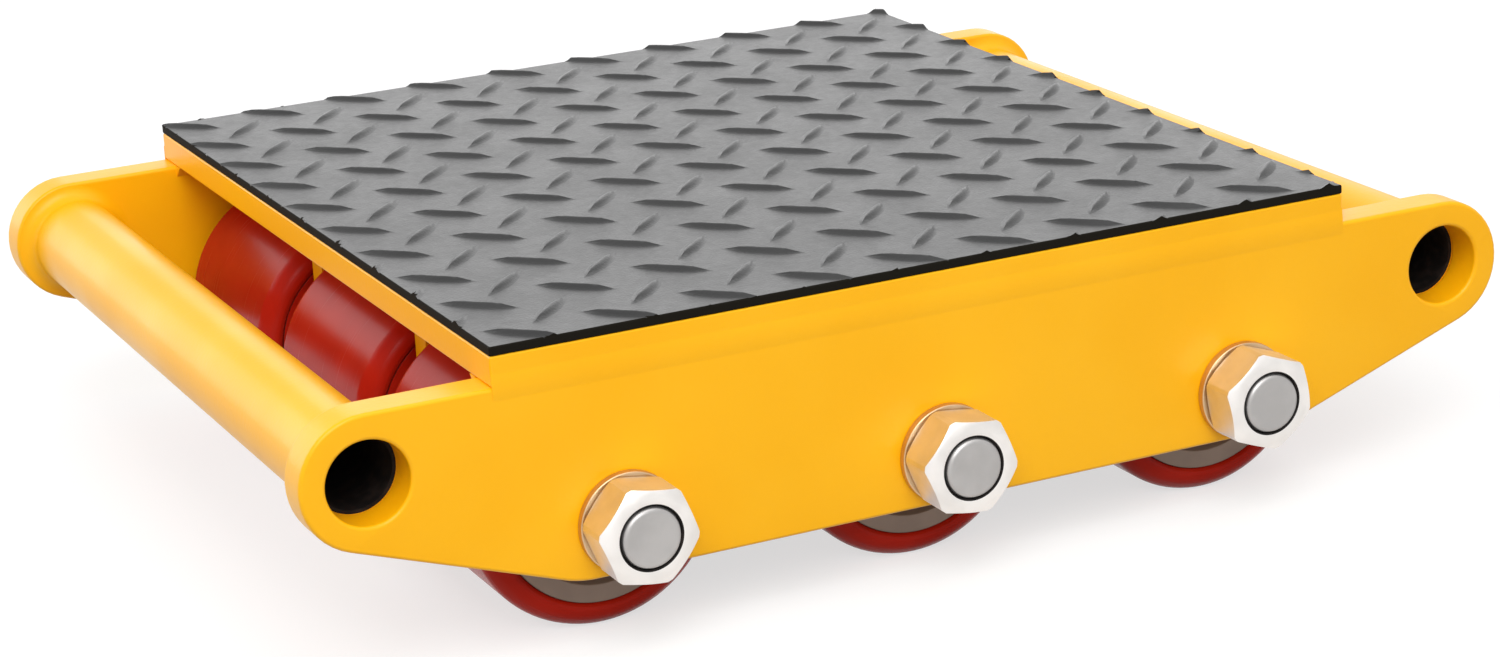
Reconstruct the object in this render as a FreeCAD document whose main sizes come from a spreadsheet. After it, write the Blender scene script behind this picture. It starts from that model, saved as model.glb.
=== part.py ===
import FreeCAD, Part
import math
import os
from types import SimpleNamespace

import Sketcher

# Machine skate: a low steel dolly on nine rollers for moving heavy machines.
# X runs along the side plates, which is the rolling direction, Y along the axles and Z up.
# The origin is on the floor under the middle of the deck. All lengths are in millimetres.

# Driving dimensions, each written once
DIMENSIONS = {
    # deck plate and the rubber mat on it
    "deck_past_axle": 41.0,
    "deck_thickness": 10.0,
    "deck_headroom": 8.0,
    "mat_thickness": 3.0,
    "lug_length": 28.0,
    "lug_width": 5.6,
    "lug_crest_length": 13.0,
    "lug_crest_width": 1.0,
    "lug_height": 1.4,
    "lug_root": 0.3,
    "lug_pitch_along": 33.2,
    "lug_pitch_across": 34.8,
    "lug_start_along": -9.5,
    "lug_start_across": 19.5,
    # side plates with their ears
    "side_plate_thickness": 14.0,
    "ear_past_axle": 82.0,
    "ear_hole_step": 1.0,
    "ear_margin": 1.0,
    "plate_ground_gap": 25.0,
    "foot_past_axle": 16.5,
    "plate_corner_radius": 30.0,
    # webs between the roller columns
    "web_thickness": 10.0,
    "web_past_axle": 22.0,
    "web_corner_cut": 15.0,
    # tie tubes and weld beads
    "tube_dia": 32.0,
    "tube_wall": 3.5,
    "tube_weld_leg": 5.0,
    "deck_weld_leg": 4.0,
    # rollers: tread bonded on a core
    "roller_dia": 85.0,
    "roller_length": 85.0,
    "roller_web_gap": 3.5,
    "roller_plate_gap": 6.0,
    "tread_thickness": 8.5,
    "tread_bevel_length": 4.5,
    "tread_bevel_depth": 4.0,
    "core_inset": 1.0,
    "seat_step": 4.5,
    "seat_lead_in": 2.0,
    # ball bearings in the rollers
    "bearing_dia": 52.0,
    "bearing_width": 15.0,
    "bearing_recess": 2.0,
    "groove_depth": 1.85,
    "ball_clearance": 0.1,
    "cage_wall": 1.8,
    "cage_rim": 0.95,
    "cage_end_gap": 0.3,
    "seal_thickness": 1.0,
    "seal_inset": 0.4,
    "seal_clearance": 0.1,
    # axles, spacers, washers and nuts
    "axle_dia": 20.0,
    "axle_spacing": 112.0,
    "axle_proud": 1.0,
    "axle_chamfer": 1.8,
    "axle_clearance": 0.05,
    "axle_hole_clearance": 0.25,
    "spacer_wall": 4.0,
    "washer_dia": 33.0,
    "washer_thickness": 3.0,
    "washer_clearance": 0.5,
    "nut_flats": 30.0,
    "nut_height": 16.0,
    "nut_face_step": 1.2,
    "nut_countersink": 0.8,
}

# The turn of each nut about its axle, as tightened: degrees from X towards Z to a corner
NUT_TURNS = {
    ("left", "near"): 51.0,
    ("centre", "near"): 52.0,
    ("right", "near"): 40.0,
    ("left", "far"): 22.0,
    ("centre", "far"): 8.0,
    ("right", "far"): 47.0,
}

BALL_COUNT = 7

# The most of a bearing's section height that a ball takes up
BALL_SHARE = 0.7

# Angles in degrees
LUG_SKEW = 1.2
LUG_TURN = 45.0
NUT_CHAMFER_ANGLE = 30.0
FULL_TURN = 360.0
HALF_TURN = 180.0

Vector = FreeCAD.Vector
doc = FreeCAD.newDocument("machine_skate")


class Size:
    """A length with its value and the expression that ties it to the sheet."""

    def __init__(self, value, text):
        self.value = value
        self.text = text

    def __add__(self, other):
        other = as_size(other)
        return Size(self.value + other.value, f"({self.text} + {other.text})")

    def __sub__(self, other):
        other = as_size(other)
        return Size(self.value - other.value, f"({self.text} - {other.text})")

    def __mul__(self, other):
        other = as_size(other)
        return Size(self.value * other.value, f"({self.text} * {other.text})")

    def __truediv__(self, other):
        other = as_size(other)
        return Size(self.value / other.value, f"({self.text} / {other.text})")

    def __rmul__(self, other):
        return as_size(other) * self

    def __neg__(self):
        return Size(-self.value, f"(-{self.text})")

    def root(self):
        return Size(math.sqrt(self.value), f"sqrt({self.text})")

    def at_most(self, limit):
        return Size(min(self.value, limit.value), f"min({self.text}; {limit.text})")


def as_size(number):
    """A plain number as a Size, so that both can stand in one formula."""
    return number if isinstance(number, Size) else Size(number, str(number))


def driving_sheet():
    """Fill the spreadsheet and return its dimensions as Sizes, by name."""
    sheet = doc.addObject("Spreadsheet::Sheet", "dims")
    for row, (alias, number) in enumerate(DIMENSIONS.items(), start=1):
        sheet.set(f"B{row}", str(number))
        sheet.setAlias(f"B{row}", alias)
    doc.recompute()
    sizes = {alias: Size(float(getattr(sheet, alias)), f"dims.{alias}") for alias in DIMENSIONS}
    return SimpleNamespace(**sizes)


d = driving_sheet()

# Places worked out from the driving dimensions
axle_radius = d.axle_dia / 2
axle_height = d.roller_dia / 2
deck_underside = d.roller_dia + d.deck_headroom
deck_top = deck_underside + d.deck_thickness
ear_radius = d.tube_dia / 2 + d.tube_weld_leg + d.ear_margin
ear_height = deck_underside - ear_radius
deck_half_length = d.axle_spacing + d.deck_past_axle
web_half_length = d.axle_spacing + d.web_past_axle
foot_half_length = d.axle_spacing + d.foot_past_axle
ear_place = d.axle_spacing + d.ear_past_axle
tube_bore_radius = d.tube_dia / 2 - d.tube_wall
ear_hole_radius = tube_bore_radius + d.ear_hole_step
row_pitch = d.roller_length + 2 * d.roller_web_gap + d.web_thickness
plate_inner = row_pitch + d.roller_length / 2 + d.roller_plate_gap
plate_outer = plate_inner + d.side_plate_thickness
nut_seat = plate_outer + d.washer_thickness
core_half_length = d.roller_length / 2 - d.core_inset
bearing_face = core_half_length - d.bearing_recess
bearing_middle = bearing_face - d.bearing_width / 2
core_radius = axle_height - d.tread_thickness
bearing_radius = d.bearing_dia / 2
bearing_section = bearing_radius - axle_radius
cage_half_width = d.bearing_width / 2 - d.seal_inset - d.seal_thickness - d.cage_end_gap
ball_room = cage_half_width - d.cage_rim - d.ball_clearance
ball_radius = ball_room.at_most(bearing_section * BALL_SHARE / 2)
groove_radius = ball_radius + d.ball_clearance
ball_path_radius = (axle_radius + bearing_radius) / 2
inner_ring_radius = ball_path_radius - groove_radius + d.groove_depth
outer_ring_bore_radius = ball_path_radius + groove_radius - d.groove_depth
spacer_bore_radius = axle_radius + d.axle_clearance
spacer_radius = spacer_bore_radius + d.spacer_wall

ORIGIN = as_size(0)
AXLES = {"left": -d.axle_spacing, "centre": ORIGIN, "right": d.axle_spacing}
ROWS = {"near": -row_pitch, "middle": ORIGIN, "far": row_pitch}
SIDES = {"near": -1, "far": 1}
ENDS = {"left": -1, "right": 1}


def bind(thing, name, length):
    """Tie a property of a document object to the sheet."""
    thing.setExpression(name, as_size(length).text)


def place(thing, x=ORIGIN, y=ORIGIN, z=ORIGIN, turn=None):
    """Put a document object in its place; turn is an axis and an angle in degrees."""
    if turn:
        axis, angle = turn
        thing.Placement = FreeCAD.Placement(Vector(), FreeCAD.Rotation(Vector(*axis), angle))
    for axis_name, length in zip("xyz", (x, y, z)):
        bind(thing, f"Placement.Base.{axis_name}", length)
    return thing


def facing(side):
    """The turn that makes a piece drawn for the near side face the other way on the far side."""
    return None if side == "near" else ((0, 0, 1), HALF_TURN)


def new_body(label):
    body = doc.addObject("PartDesign::Body", label)
    body.Label = label
    return body


def new_sketch(body, plane_role):
    """A sketch on one of the body's own origin planes."""
    sketch = body.newObject("Sketcher::SketchObject", f"{body.Name}_sketch")
    plane = next(item for item in body.Origin.OriginFeatures if item.Role == plane_role)
    sketch.AttachmentSupport = [(plane, "")]
    sketch.MapMode = "FlatFace"
    return sketch


def hold_distance(sketch, kind, axis_geometry, item, point, length):
    """Hold one point of a sketch at a distance from the origin along X or Y."""
    if length.value == 0:
        sketch.addConstraint(Sketcher.Constraint("PointOnObject", item, point, axis_geometry))
        return
    if length.value > 0:
        ends = (-1, 1, item, point)
    else:
        ends = (item, point, -1, 1)
        length = -length
    index = sketch.addConstraint(Sketcher.Constraint(kind, *ends, length.value))
    sketch.setExpression(f"Constraints[{index}]", length.text)


def hold_point(sketch, item, point, x, y):
    hold_distance(sketch, "DistanceX", -2, item, point, as_size(x))
    hold_distance(sketch, "DistanceY", -1, item, point, as_size(y))


def hold_radius(sketch, item, radius):
    index = sketch.addConstraint(Sketcher.Constraint("Radius", item, radius.value))
    sketch.setExpression(f"Constraints[{index}]", radius.text)


def draw_circle(sketch, x, y, radius):
    middle = Vector(as_size(x).value, as_size(y).value, 0)
    item = sketch.addGeometry(Part.Circle(middle, Vector(0, 0, 1), radius.value))
    hold_point(sketch, item, 3, x, y)
    hold_radius(sketch, item, radius)


def arc_between(start, end, radius, turns_left):
    """The short arc of a radius from one point to the next, as Part draws it: anticlockwise."""
    chord = end - start
    middle = (start + end) / 2
    reach = math.sqrt(max(radius ** 2 - (chord.Length / 2) ** 2, 0))
    sideways = Vector(-chord.y, chord.x, 0).normalize()
    centre = middle + sideways * (reach if turns_left else -reach)
    first, last = (start, end) if turns_left else (end, start)
    angles = [math.atan2(point.y - centre.y, point.x - centre.x) for point in (first, last)]
    return Part.ArcOfCircle(Part.Circle(centre, Vector(0, 0, 1), radius), *angles)


def draw_outline(sketch, steps):
    """Draw a closed outline. A step is a corner, x and y, with the bend that leads to the next corner.

    The bend is nothing for a straight line, or a radius and whether the arc turns left.
    Every corner is held at its distances from the sketch's origin.
    """
    corners = [Vector(as_size(step[0]).value, as_size(step[1]).value, 0) for step in steps]
    runs = []
    for number, (x, y, *bend) in enumerate(steps):
        start = corners[number]
        end = corners[(number + 1) % len(corners)]
        if bend:
            radius, turns_left = bend
            item = sketch.addGeometry(arc_between(start, end, radius.value, turns_left))
            runs.append((item, 1, 2) if turns_left else (item, 2, 1))
        else:
            item = sketch.addGeometry(Part.LineSegment(start, end))
            runs.append((item, 1, 2))
    for number, (item, first, last) in enumerate(runs):
        next_item, next_first, _ = runs[(number + 1) % len(runs)]
        sketch.addConstraint(Sketcher.Constraint("Coincident", item, last, next_item, next_first))
    for (item, first, last), (x, y, *bend) in zip(runs, steps):
        hold_point(sketch, item, first, x, y)
        if bend:
            hold_radius(sketch, item, bend[0])


def pad(body, sketch, length):
    """Thicken a sketch equally to both sides of its plane."""
    feature = body.newObject("PartDesign::Pad", f"{body.Name}_pad")
    feature.Profile = sketch
    feature.SideType = "Symmetric"
    bind(feature, "Length", length)
    return feature


def turned_body(label, steps):
    """A body turned about Y: the outline's first number is the radius, its second the place along Y."""
    body = new_body(label)
    sketch = new_sketch(body, "XY_Plane")
    draw_outline(sketch, steps)
    feature = body.newObject("PartDesign::Revolution", f"{body.Name}_turn")
    feature.Profile = sketch
    feature.ReferenceAxis = (sketch, ["V_Axis"])
    feature.Angle = FULL_TURN
    return body


def ring_body(label, inner_radius, outer_radius, length):
    """A plain ring about Y that starts at Y = 0."""
    steps = [(inner_radius, ORIGIN), (outer_radius, ORIGIN), (outer_radius, length), (inner_radius, length)]
    return turned_body(label, steps)


def grouped(label, pieces):
    """Equal pieces that share one node, each still a solid of its own."""
    group = doc.addObject("Part::Compound", label)
    group.Label = label
    group.Links = pieces
    return group


def deck_plate():
    body = new_body("deck_plate")
    sketch = new_sketch(body, "XY_Plane")
    draw_outline(sketch, [
        (deck_half_length, plate_outer),
        (-deck_half_length, plate_outer),
        (-deck_half_length, -plate_outer),
        (deck_half_length, -plate_outer),
    ])
    pad(body, sketch, d.deck_thickness)
    return place(body, z=deck_underside + d.deck_thickness / 2)


def lens_wire(length, width, height):
    """A pointed oval of two arcs."""
    tips = (Vector(-length / 2, 0, height), Vector(length / 2, 0, height))
    sides = (Vector(0, width / 2, height), Vector(0, -width / 2, height))
    upper = Part.Arc(tips[0], sides[0], tips[1])
    lower = Part.Arc(tips[1], sides[1], tips[0])
    return Part.Wire([upper.toShape(), lower.toShape()])


def tread_lug():
    """One raised lug, rooted in the mat: an oval that narrows to its crest."""
    length = d.lug_length.value
    width = d.lug_width.value
    ovals = [
        lens_wire(length, width, -d.lug_root.value),
        lens_wire(length, width, 0),
        lens_wire(d.lug_crest_length.value, d.lug_crest_width.value, d.lug_height.value),
    ]
    return Part.makeLoft(ovals, True, True)


def lug_places(half_length, half_width):
    """The lugs' centres and turns: two crossed families on one grid, over the whole mat."""
    pitch_along = d.lug_pitch_along.value
    pitch_across = d.lug_pitch_across.value
    turn = FreeCAD.Rotation(Vector(0, 0, 1), LUG_SKEW)
    overhang = d.lug_length.value / 4
    columns = math.ceil(half_length / pitch_along) + 1
    lines = math.ceil(half_width / pitch_across) + 1
    for column in range(-columns, columns + 1):
        for line in range(-lines, lines + 1):
            for step, angle in ((0, -LUG_TURN), (0.5, LUG_TURN)):
                along = d.lug_start_along.value + (column + step) * pitch_along
                across = d.lug_start_across.value + (line + step) * pitch_across
                centre = turn.multVec(Vector(along, across, 0))
                if abs(centre.x) < half_length + overhang and abs(centre.y) < half_width + overhang:
                    yield centre, angle + LUG_SKEW


def deck_mat():
    """The rubber mat, cut from sheet: lugs that cross its edge are cut with it."""
    half_length = deck_half_length.value
    half_width = plate_outer.value
    thickness = d.mat_thickness.value
    corner = Vector(-half_length, -half_width, -thickness)
    base = Part.makeBox(2 * half_length, 2 * half_width, thickness, corner)
    cut = Part.makeBox(2 * half_length, 2 * half_width, 2 * thickness + d.lug_height.value, corner)
    pattern = tread_lug()
    lugs = []
    for centre, angle in lug_places(half_length, half_width):
        lug = pattern.copy()
        lug.rotate(Vector(), Vector(0, 0, 1), angle)
        lug.translate(centre)
        lugs.append(lug)
    moulded = base.multiFuse(lugs).common(cut)
    if len(moulded.Solids) != 1:
        raise RuntimeError("deck_mat: the lugs didn't join the mat")
    mat = doc.addObject("Part::Feature", "deck_mat")
    mat.Label = "deck_mat"
    mat.Shape = moulded.Solids[0]
    return place(mat, z=deck_top + d.mat_thickness)


def ear_tangent():
    """Where the plate's slanting lower edge, drawn from the end of its foot, touches the ear's circle."""
    run = ear_place - foot_half_length
    rise = ear_height - d.plate_ground_gap
    reach_squared = run * run + rise * rise
    tangent = (reach_squared - ear_radius * ear_radius).root()
    x = foot_half_length + tangent * (run * tangent + rise * ear_radius) / reach_squared
    z = d.plate_ground_gap + tangent * (rise * tangent - run * ear_radius) / reach_squared
    return x, z


def draw_axle_holes(sketch):
    for x in AXLES.values():
        draw_circle(sketch, x, axle_height, axle_radius + d.axle_hole_clearance)


def side_plate(side):
    """A thick plate with an ear at each end, holed for the tie tubes and the axles."""
    body = new_body(f"side_plate_{side}")
    sketch = new_sketch(body, "XZ_Plane")
    touch_x, touch_z = ear_tangent()
    draw_outline(sketch, [
        (foot_half_length, d.plate_ground_gap),
        (touch_x, touch_z, ear_radius, True),
        (ear_place, deck_underside),
        (-ear_place, deck_underside, ear_radius, True),
        (-touch_x, touch_z),
        (-foot_half_length, d.plate_ground_gap),
    ])
    for direction in ENDS.values():
        draw_circle(sketch, direction * ear_place, ear_height, ear_hole_radius)
    draw_axle_holes(sketch)
    plate = pad(body, sketch, d.side_plate_thickness)
    doc.recompute()
    rounding = body.newObject("PartDesign::Fillet", f"{body.Name}_corners")
    rounding.Base = (plate, foot_edges(plate.Shape))
    bind(rounding, "Radius", d.plate_corner_radius)
    middle = plate_inner + d.side_plate_thickness / 2
    return place(body, y=SIDES[side] * middle)


def foot_edges(shape):
    """Names of the two edges across the plate where its foot turns up into the slanting edge."""
    foot = foot_half_length.value
    places = [Vector(x, 0, d.plate_ground_gap.value) for x in (-foot, foot)]
    names = []
    for number, edge in enumerate(shape.Edges, start=1):
        centre = edge.CenterOfMass
        if any((centre - point).Length < Part.Precision.confusion() * 10 for point in places):
            names.append(f"Edge{number}")
    return names


def inner_web(side):
    """A plate between two roller columns that carries the axles in the middle of the deck."""
    body = new_body(f"inner_web_{side}")
    sketch = new_sketch(body, "XZ_Plane")
    half_length = web_half_length
    low = d.plate_ground_gap
    cut = d.web_corner_cut
    draw_outline(sketch, [
        (half_length, deck_underside),
        (-half_length, deck_underside),
        (-half_length, low + cut),
        (-half_length + cut, low),
        (half_length - cut, low),
        (half_length, low + cut),
    ])
    draw_axle_holes(sketch)
    pad(body, sketch, d.web_thickness)
    return place(body, y=SIDES[side] * row_pitch / 2)


def tie_tube(end):
    """A tube between the ears, open at both ends through the ear holes."""
    body = new_body(f"tie_tube_{end}")
    sketch = new_sketch(body, "XZ_Plane")
    draw_circle(sketch, ORIGIN, ORIGIN, d.tube_dia / 2)
    draw_circle(sketch, ORIGIN, ORIGIN, tube_bore_radius)
    pad(body, sketch, 2 * plate_inner)
    return place(body, x=ENDS[end] * ear_place, z=ear_height)


def tube_welds():
    """Hollow fillet beads where the tie tubes meet the side plates."""
    wall = d.tube_dia / 2
    leg = d.tube_weld_leg
    beads = []
    for end, direction in ENDS.items():
        for side, sign in SIDES.items():
            steps = [(wall, ORIGIN), (wall + leg, ORIGIN, leg, False), (wall, leg)]
            bead = turned_body(f"tube_weld_{end}_{side}", steps)
            place(bead, x=direction * ear_place, y=sign * plate_inner, z=ear_height, turn=facing(side))
            beads.append(bead)
    return grouped("tube_welds", beads)


def deck_weld(label, length, y, side):
    """A straight bead in the corner under the deck; drawn for a wall on its near side."""
    body = new_body(label)
    sketch = new_sketch(body, "YZ_Plane")
    leg = d.deck_weld_leg
    draw_outline(sketch, [(ORIGIN, ORIGIN), (ORIGIN, -leg), (leg, ORIGIN)])
    pad(body, sketch, length)
    return place(body, y=y, z=deck_underside, turn=facing(side))


def deck_welds():
    """The beads under the deck: one inside each side plate, two along each web."""
    beads = []
    for side, sign in SIDES.items():
        beads.append(deck_weld(f"plate_weld_{side}", 2 * deck_half_length, sign * plate_inner, side))
        web_middle = sign * row_pitch / 2
        web_half = d.web_thickness / 2
        length = 2 * web_half_length
        beads.append(deck_weld(f"web_weld_{side}_back", length, web_middle + web_half, "near"))
        beads.append(deck_weld(f"web_weld_{side}_front", length, web_middle - web_half, "far"))
    return grouped("deck_welds", beads)


def axle(name):
    """A round bar through the whole frame, chamfered at both ends."""
    half_length = nut_seat + d.nut_height + d.axle_proud
    chamfer = d.axle_chamfer
    body = turned_body(f"axle_{name}", [
        (ORIGIN, -half_length),
        (axle_radius - chamfer, -half_length),
        (axle_radius, -half_length + chamfer),
        (axle_radius, half_length - chamfer),
        (axle_radius - chamfer, half_length),
        (ORIGIN, half_length),
    ])
    return place(body, x=AXLES[name], z=axle_height)


def nut(name, side):
    """A hexagon nut, chamfered at both faces; its thread is left plain."""
    corner_radius = d.nut_flats / 2 / math.cos(math.pi / 6)
    face_radius = d.nut_flats / 2 - d.nut_face_step
    bore = spacer_bore_radius
    countersink = d.nut_countersink
    drop = (corner_radius - face_radius) * math.tan(math.radians(NUT_CHAMFER_ANGLE))
    height = d.nut_height
    barrel = turned_body(f"nut_barrel_{name}_{side}", [
        (bore + countersink, ORIGIN),
        (face_radius, ORIGIN),
        (corner_radius, drop),
        (corner_radius, height - drop),
        (face_radius, height),
        (bore + countersink, height),
        (bore, height - countersink),
        (bore, countersink),
    ])
    hexagon = doc.addObject("Part::Prism", f"nut_hexagon_{name}_{side}")
    hexagon.Polygon = 6
    bind(hexagon, "Circumradius", corner_radius)
    bind(hexagon, "Height", height)
    hexagon.Placement = FreeCAD.Placement(Vector(), FreeCAD.Rotation(Vector(1, 0, 0), -90))
    finished = doc.addObject("Part::Common", f"axle_nut_{name}_{side}")
    finished.Base = hexagon
    finished.Tool = barrel
    seat = nut_seat if side == "far" else -nut_seat - height
    return place(finished, x=AXLES[name], y=seat, z=axle_height, turn=((0, -1, 0), NUT_TURNS[name, side]))


def washer(name, side):
    thickness = d.washer_thickness
    hole_radius = axle_radius + d.washer_clearance
    ring = ring_body(f"axle_washer_{name}_{side}", hole_radius, d.washer_dia / 2, thickness)
    seat = plate_outer if side == "far" else -plate_outer - thickness
    return place(ring, x=AXLES[name], y=seat, z=axle_height)


def at_each_axle_end(make):
    return [make(name, side) for name in AXLES for side in SIDES]


def spacer(label, x, y, length):
    """A ring on the axle, centred at y."""
    ring = ring_body(label, spacer_bore_radius, spacer_radius, length)
    return place(ring, x=x, y=y - length / 2, z=axle_height)


def outer_spacers():
    """The rings between the side plates and the outer bearings."""
    length = d.roller_length / 2 + d.roller_plate_gap - bearing_face
    middle = plate_inner - length / 2
    pieces = []
    for name, x in AXLES.items():
        for side, sign in SIDES.items():
            pieces.append(spacer(f"outer_spacer_{name}_{side}", x, sign * middle, length))
    return grouped("outer_spacers", pieces)


def inner_spacers():
    """The rings between the webs and the bearings beside them."""
    length = d.roller_length / 2 + d.roller_web_gap - bearing_face
    offset = d.web_thickness / 2 + length / 2
    pieces = []
    for name, x in AXLES.items():
        for side, sign in SIDES.items():
            web_middle = sign * row_pitch / 2
            pieces.append(spacer(f"inner_spacer_{name}_{side}_back", x, web_middle + offset, length))
            pieces.append(spacer(f"inner_spacer_{name}_{side}_front", x, web_middle - offset, length))
    return grouped("inner_spacers", pieces)


def bearing_sleeves():
    """The tubes that hold the two inner rings of a roller apart."""
    length = 2 * (bearing_face - d.bearing_width)
    pieces = []
    for name, x in AXLES.items():
        for row, y in ROWS.items():
            pieces.append(spacer(f"bearing_sleeve_{name}_{row}", x, y, length))
    return grouped("bearing_sleeves", pieces)


def groove_half_width(radius):
    """Half the width of a ball groove where it opens on a ring's face of this radius."""
    depth = ball_path_radius - radius
    return (groove_radius * groove_radius - depth * depth).root()


def bearing_places():
    """Every bearing: a name for it, its axle's X and its middle along Y."""
    for name, x in AXLES.items():
        for row, y in ROWS.items():
            yield f"{name}_{row}_front", x, y - bearing_middle
            yield f"{name}_{row}_back", x, y + bearing_middle


def bearing_inner_rings():
    bore = spacer_bore_radius
    face = inner_ring_radius
    half_width = d.bearing_width / 2
    groove = groove_half_width(face)
    rings = []
    for name, x, y in bearing_places():
        ring = turned_body(f"inner_ring_{name}", [
            (bore, -half_width),
            (face, -half_width),
            (face, -groove, groove_radius, False),
            (face, groove),
            (face, half_width),
            (bore, half_width),
        ])
        rings.append(place(ring, x=x, y=y, z=axle_height))
    return grouped("bearing_inner_rings", rings)


def bearing_balls():
    balls = []
    for name, x, y in bearing_places():
        for number in range(BALL_COUNT):
            angle = 2 * math.pi * number / BALL_COUNT
            ball = doc.addObject("Part::Sphere", f"ball_{name}_{number}")
            bind(ball, "Radius", ball_radius)
            across = ball_path_radius * math.cos(angle)
            up = ball_path_radius * math.sin(angle)
            balls.append(place(ball, x=x + across, y=y, z=axle_height + up))
    return grouped("bearing_balls", balls)


def ball_cages():
    """Turned rings between the bearing rings, with a round pocket for each ball."""
    inner = ball_path_radius - d.cage_wall / 2
    outer = ball_path_radius + d.cage_wall / 2
    outline = [
        (inner, -cage_half_width),
        (outer, -cage_half_width),
        (outer, cage_half_width),
        (inner, cage_half_width),
    ]
    cages = []
    for name, x, y in bearing_places():
        cages.append(place(turned_body(f"ball_cage_{name}", outline), x=x, y=y, z=axle_height))
    doc.recompute()
    ring_volume = cages[0].Shape.Volume
    pockets = [ball_pocket(cage, outer) for cage in cages]
    doc.recompute()
    for cage, pocket in zip(cages, pockets):
        if cage.Shape.Volume >= ring_volume:
            raise RuntimeError(f"{cage.Label}: the ball pocket cuts nothing")
        pattern = cage.newObject("PartDesign::PolarPattern", f"{cage.Name}_pockets")
        pattern.Originals = [pocket]
        pattern.Axis = (pocket.Profile[0], ["H_Axis"])
        pattern.Angle = FULL_TURN
        pattern.Occurrences = BALL_COUNT
        cage.Tip = pattern
    return grouped("ball_cages", cages)


def ball_pocket(cage, reach):
    """A round hole through one side of a cage, square to its axis."""
    sketch = new_sketch(cage, "YZ_Plane")
    draw_circle(sketch, ORIGIN, ORIGIN, groove_radius)
    pocket = cage.newObject("PartDesign::Pocket", f"{cage.Name}_pocket")
    pocket.Profile = sketch
    pocket.Reversed = True
    bind(pocket, "Length", reach * 2)
    return pocket


def roller_tread(name, row):
    """The polyurethane tyre, bevelled at both ends."""
    half_length = d.roller_length / 2
    bevelled = axle_height - d.tread_bevel_depth
    straight = half_length - d.tread_bevel_length
    body = turned_body(f"tread_{name}_{row}", [
        (core_radius, -half_length),
        (bevelled, -half_length),
        (axle_height, -straight),
        (axle_height, straight),
        (bevelled, half_length),
        (core_radius, half_length),
    ])
    return place(body, x=AXLES[name], y=ROWS[row], z=axle_height)


def roller_core(name, row):
    """The metal core inside a tread, with a stepped seat for a bearing at each end."""
    seat = bearing_radius
    shoulder = bearing_face - d.bearing_width
    lead_in = d.seat_lead_in.at_most((core_radius - seat) / 2)
    bore = seat - d.seat_step
    end = core_half_length
    body = turned_body(f"core_{name}_{row}", [
        (core_radius, -end),
        (core_radius, end),
        (seat + lead_in, end),
        (seat, end - lead_in),
        (seat, shoulder),
        (bore, shoulder),
        (bore, -shoulder),
        (seat, -shoulder),
        (seat, -end + lead_in),
        (seat + lead_in, -end),
    ])
    return place(body, x=AXLES[name], y=ROWS[row], z=axle_height)


def roller_outer_rings(name, row):
    """The outer rings of the roller's two bearings."""
    outer = bearing_radius
    face = outer_ring_bore_radius
    half_width = d.bearing_width / 2
    groove = groove_half_width(face)
    rings = []
    for place_name, direction in (("front", -1), ("back", 1)):
        ring = turned_body(f"outer_ring_{name}_{row}_{place_name}", [
            (outer, -half_width),
            (outer, half_width),
            (face, half_width),
            (face, groove, groove_radius, False),
            (face, -groove),
            (face, -half_width),
        ])
        y = ROWS[row] + direction * bearing_middle
        rings.append(place(ring, x=AXLES[name], y=y, z=axle_height))
    return grouped(f"outer_rings_{name}_{row}", rings)


def roller_seals(name, row):
    """The rubber seals of the roller's two bearings, one near each face."""
    lip = inner_ring_radius + d.seal_clearance
    rim = outer_ring_bore_radius
    depth = d.bearing_width / 2 - d.seal_inset - d.seal_thickness / 2
    seals = []
    for bearing, direction in (("front", -1), ("back", 1)):
        for face, way in (("inside", -1), ("outside", 1)):
            seal = ring_body(f"seal_{name}_{row}_{bearing}_{face}", lip, rim, d.seal_thickness)
            y = ROWS[row] + direction * (bearing_middle + way * depth) - d.seal_thickness / 2
            seals.append(place(seal, x=AXLES[name], y=y, z=axle_height))
    return grouped(f"seals_{name}_{row}", seals)


def build():
    """Every node of the skate, from the deck down to the rollers."""
    nodes = [deck_plate(), deck_mat(), tube_welds(), deck_welds()]
    for side in SIDES:
        nodes += [side_plate(side), inner_web(side)]
    nodes += [tie_tube(end) for end in ENDS]
    nodes += [axle(name) for name in AXLES]
    nodes.append(grouped("axle_nuts", at_each_axle_end(nut)))
    nodes.append(grouped("axle_washers", at_each_axle_end(washer)))
    nodes += [outer_spacers(), inner_spacers(), bearing_sleeves()]
    nodes += [bearing_inner_rings(), bearing_balls(), ball_cages()]
    for name in AXLES:
        for row in ROWS:
            for make in (roller_tread, roller_core, roller_outer_rings, roller_seals):
                nodes.append(make(name, row))
    doc.recompute()
    return nodes


def check(nodes):
    """Stop before anything is written if an object failed or a shape isn't sound."""
    for thing in doc.Objects:
        if "Invalid" in thing.State or "Error" in thing.State:
            raise RuntimeError(f"{thing.Label} failed: {thing.State}")
    for node in nodes:
        if node.Shape.isNull() or not node.Shape.isValid():
            raise RuntimeError(f"{node.Label} has no sound shape")


def write(nodes):
    os.makedirs("parts", exist_ok=True)
    for node in nodes:
        node.Shape.exportStep(f"parts/{node.Label}.step")
        print(f"{node.Label}: {len(node.Shape.Solids)} solids, {node.Shape.Volume:.0f} mm3")


skate = build()
check(skate)
write(skate)
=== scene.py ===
# %% [markdown]
# # Dressing a machine skate
# A machine skate is a low steel dolly: a welded yellow frame, a rubber mat on its deck and nine
# red rollers under it. The CAD model already fixes every size and place. This lesson builds finer
# meshes over it, gives every piece a finish, and lights it as for a product photograph.
# The CAD model comes first, because each piece below reads its place from it.

# %% Load the CAD model
import math

import bmesh
import bpy
from mathutils import Matrix, Vector


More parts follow.
